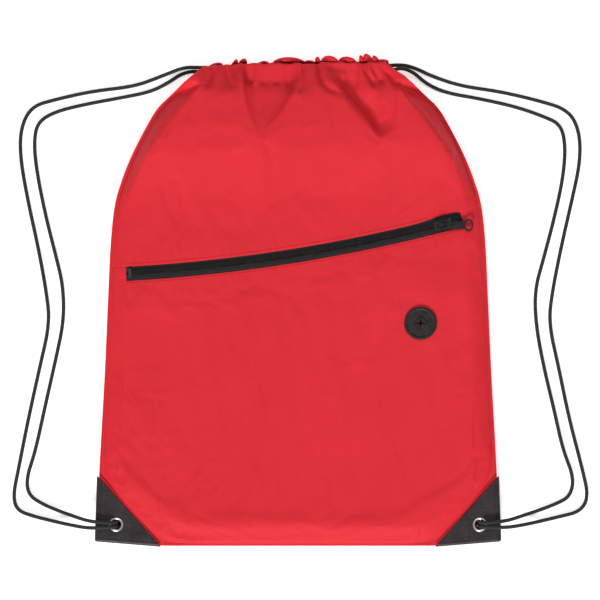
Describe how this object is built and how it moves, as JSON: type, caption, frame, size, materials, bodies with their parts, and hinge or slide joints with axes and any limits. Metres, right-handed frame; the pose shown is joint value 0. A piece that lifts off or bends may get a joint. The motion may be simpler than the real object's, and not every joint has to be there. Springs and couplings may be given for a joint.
{
  "type": "drawstring backpack",
  "caption": "Flat cinch-top sports backpack with paired drawcord shoulder straps, grommeted corners, a curved zip pocket and an earbud port.",
  "frame": {"origin": "on the surface that the bag lies on, under the middle of the bag without its cords", "axes": "+X to the bag's right, +Y from the bottom seam to the mouth, +Z from the back panel to the front panel"},
  "size_m": [0.4938, 0.4148, 0.0239],
  "materials": {
    "red_polyester": "matte",
    "pocket_lining": "matte",
    "zipper_tape": "matte",
    "zipper_coil": "satin",
    "zipper_stop": "satin",
    "slider_metal": "satin",
    "pull_moulding": "satin",
    "port_rubber": "matte",
    "coated_patch": "satin",
    "nickel": "polished",
    "drawcord": "matte"
  },
  "bodies": {
    "bag": {"back_panel": "red_polyester", "front_upper_panel": "red_polyester", "pocket_front_panel": "red_polyester", "pocket_lining": "pocket_lining", "back_hem_casing": "red_polyester", "front_hem_casing": "red_polyester", "upper_zipper_tape": "zipper_tape", "lower_zipper_tape": "zipper_tape", "upper_zipper_coil": "zipper_coil", "lower_zipper_coil": "zipper_coil", "zipper_top_stops": "zipper_stop", "zipper_bottom_stop": "zipper_stop", "port_body": "port_rubber", "port_backing_ring": "port_rubber", "left_corner_patch": "coated_patch", "right_corner_patch": "coated_patch", "left_eyelet": "nickel", "right_eyelet": "nickel", "left_eyelet_washer": "nickel", "right_eyelet_washer": "nickel", "left_drawcord": "drawcord", "right_drawcord": "drawcord", "left_cord_knot": "drawcord", "right_cord_knot": "drawcord"},
    "slider": {"zipper_slider": "slider_metal"},
    "pull_tab": {"zipper_pull_tab": "pull_moulding"},
    "port_flap_upper_right": {"port_flap_upper_right": "port_rubber"},
    "port_flap_upper_left": {"port_flap_upper_left": "port_rubber"},
    "port_flap_lower_left": {"port_flap_lower_left": "port_rubber"},
    "port_flap_lower_right": {"port_flap_lower_right": "port_rubber"}
  },
  "joints": [
    {"name": "zipper_travel", "type": "hinge", "parent": "bag", "child": "slider", "pos_m": [-0.2222, 1.4022, 0.018], "axis": [0, 0, -1], "range_deg": [0, 10.83]},
    {"name": "pull_tab_flip", "type": "hinge", "parent": "slider", "child": "pull_tab", "pos_m": [0.12233, 0.0658, 0.02175], "axis": [0, -1, 0], "range_deg": [0, 170]},
    {"name": "port_flap_upper_right_flex", "type": "hinge", "parent": "bag", "child": "port_flap_upper_right", "pos_m": [0.1073, -0.0148, 0.0188], "axis": [-0.7071, 0.7071, 0], "range_deg": [0, 60], "stiffness_Nm_per_rad": 0.002},
    {"name": "port_flap_upper_left_flex", "type": "hinge", "parent": "bag", "child": "port_flap_upper_left", "pos_m": [0.1013, -0.0148, 0.0188], "axis": [-0.7071, -0.7071, 0], "range_deg": [0, 60], "stiffness_Nm_per_rad": 0.002},
    {"name": "port_flap_lower_left_flex", "type": "hinge", "parent": "bag", "child": "port_flap_lower_left", "pos_m": [0.1013, -0.0208, 0.0188], "axis": [0.7071, -0.7071, 0], "range_deg": [0, 60], "stiffness_Nm_per_rad": 0.002},
    {"name": "port_flap_lower_right_flex", "type": "hinge", "parent": "bag", "child": "port_flap_lower_right", "pos_m": [0.1073, -0.0208, 0.0188], "axis": [0.7071, 0.7071, 0], "range_deg": [0, 60], "stiffness_Nm_per_rad": 0.002}
  ],
  "couplings": [
    {"joint": "port_flap_upper_left_flex", "follows": "port_flap_upper_right_flex", "ratio": 1},
    {"joint": "port_flap_lower_left_flex", "follows": "port_flap_upper_right_flex", "ratio": 1},
    {"joint": "port_flap_lower_right_flex", "follows": "port_flap_upper_right_flex", "ratio": 1}
  ]
}
